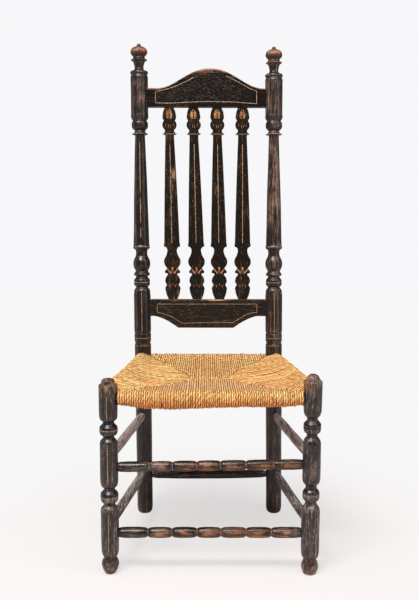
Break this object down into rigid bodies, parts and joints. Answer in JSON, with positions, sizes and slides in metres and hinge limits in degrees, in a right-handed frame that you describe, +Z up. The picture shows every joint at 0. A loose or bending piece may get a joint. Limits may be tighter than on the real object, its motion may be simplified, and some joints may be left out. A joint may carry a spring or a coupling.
{
  "type": "bannister back side chair",
  "caption": "Tall turned side chair with a black-painted frame, split banisters between turned posts, an arched crest rail and a twisted rush seat.",
  "frame": {"origin": "the middle of the footprint box, on the floor", "axes": "+Z up; the chair faces -Y; +X is towards the viewer's right when the chair is seen from the front"},
  "size_m": [0.4668, 0.4202, 1.17],
  "materials": {
    "black_paint": "worn black paint over hardwood, satin, with thin gilt striping",
    "worn_paint": "black paint rubbed through to brown wood, satin",
    "bare_wood": "unpainted hardwood, matt",
    "rush": "twisted rush cord, dry straw",
    "stuffing": "packed rush ends, rough"
  },
  "bodies": {
    "root": {"front_leg_left": "worn_paint", "front_leg_right": "worn_paint", "rear_post_left": "black_paint", "rear_post_right": "black_paint", "crest_rail": "black_paint", "stay_rail": "black_paint", "banister_1": "black_paint", "banister_2": "black_paint", "banister_3": "black_paint", "banister_4": "black_paint", "front_stretcher_upper": "worn_paint", "front_stretcher_lower": "worn_paint", "side_stretcher_left_upper": "worn_paint", "side_stretcher_left_lower": "worn_paint", "side_stretcher_right_upper": "worn_paint", "side_stretcher_right_lower": "worn_paint", "rear_stretcher": "worn_paint", "seat_rail_front": "bare_wood", "seat_rail_rear": "bare_wood", "seat_rail_left": "bare_wood", "seat_rail_right": "bare_wood", "crest_peg_left": "bare_wood", "crest_peg_right": "bare_wood", "stay_peg_left": "bare_wood", "stay_peg_right": "bare_wood", "rush_seat": "rush", "seat_stuffing": "stuffing"}
  },
  "joints": []
}
